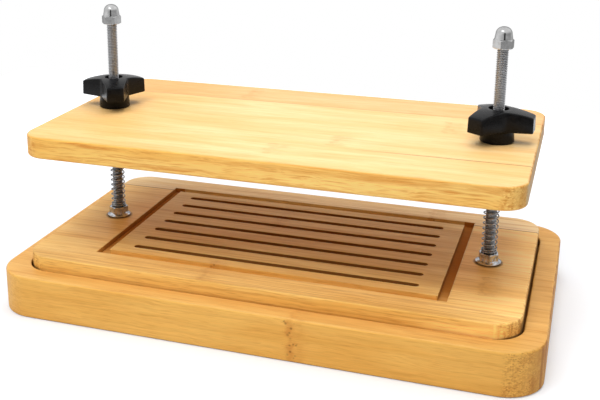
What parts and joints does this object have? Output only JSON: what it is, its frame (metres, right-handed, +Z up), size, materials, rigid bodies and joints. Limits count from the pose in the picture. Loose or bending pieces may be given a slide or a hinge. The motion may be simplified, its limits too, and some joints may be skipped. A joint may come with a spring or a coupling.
{
  "type": "tofu press",
  "caption": "Bamboo tofu press: a press board slides down threaded rods under arm knobs onto a slotted drain board in a drip tray.",
  "frame": {"origin": "centre of the drip tray's underside", "axes": "+Z up along the rods, +X along the boards' length, from the left rod to the right rod; the front is -Y"},
  "size_m": [0.3924, 0.2294, 0.2152],
  "materials": {
    "tray_bamboo": "oiled, fine side grain",
    "drain_board_bamboo": "oiled, fine side grain",
    "press_board_bamboo": "oiled, fine side grain",
    "threaded_steel": "rolled thread",
    "zinc_steel": "plated",
    "spring_steel": "drawn wire",
    "nickel_plate": "polished",
    "knob_plastic": "moulded, satin gloss",
    "insert_brass": "turned"
  },
  "bodies": {
    "tray": {"drip_tray": "tray_bamboo"},
    "drain_frame": {"drain_board": "drain_board_bamboo", "left_bolt": "threaded_steel", "left_washer": "zinc_steel", "left_flange_nut": "zinc_steel", "left_spring": "spring_steel", "left_acorn_nut": "nickel_plate", "right_bolt": "threaded_steel", "right_washer": "zinc_steel", "right_flange_nut": "zinc_steel", "right_spring": "spring_steel", "right_acorn_nut": "nickel_plate"},
    "press": {"press_board": "press_board_bamboo"},
    "left_knob": {"left_knob": "knob_plastic", "left_knob_insert": "insert_brass"},
    "right_knob": {"right_knob": "knob_plastic", "right_knob_insert": "insert_brass"}
  },
  "joints": [
    {"name": "lift_out", "type": "slide", "parent": "tray", "child": "drain_frame", "axis": [0, 0, 1], "range_m": [0, 0.06]},
    {"name": "press_travel", "type": "slide", "parent": "drain_frame", "child": "press", "axis": [0, 0, 1], "range_m": [-0.045, 0], "stiffness_N_per_m": 980, "springref_m": 0.0175, "deforming": ["left_spring", "right_spring"]},
    {"name": "left_knob_turn", "type": "hinge", "parent": "press", "child": "left_knob", "pos_m": [-0.1485, 0, 0.134], "axis": [0, 0, 1], "range_deg": [-12960, 0]},
    {"name": "right_knob_turn", "type": "hinge", "parent": "press", "child": "right_knob", "pos_m": [0.1485, 0, 0.134], "axis": [0, 0, 1], "range_deg": [-12960, 0]}
  ],
  "couplings": [
    {"joint": "left_knob_turn", "follows": "press_travel", "rad_per_m": 5026.5},
    {"joint": "right_knob_turn", "follows": "press_travel", "rad_per_m": 5026.5}
  ]
}
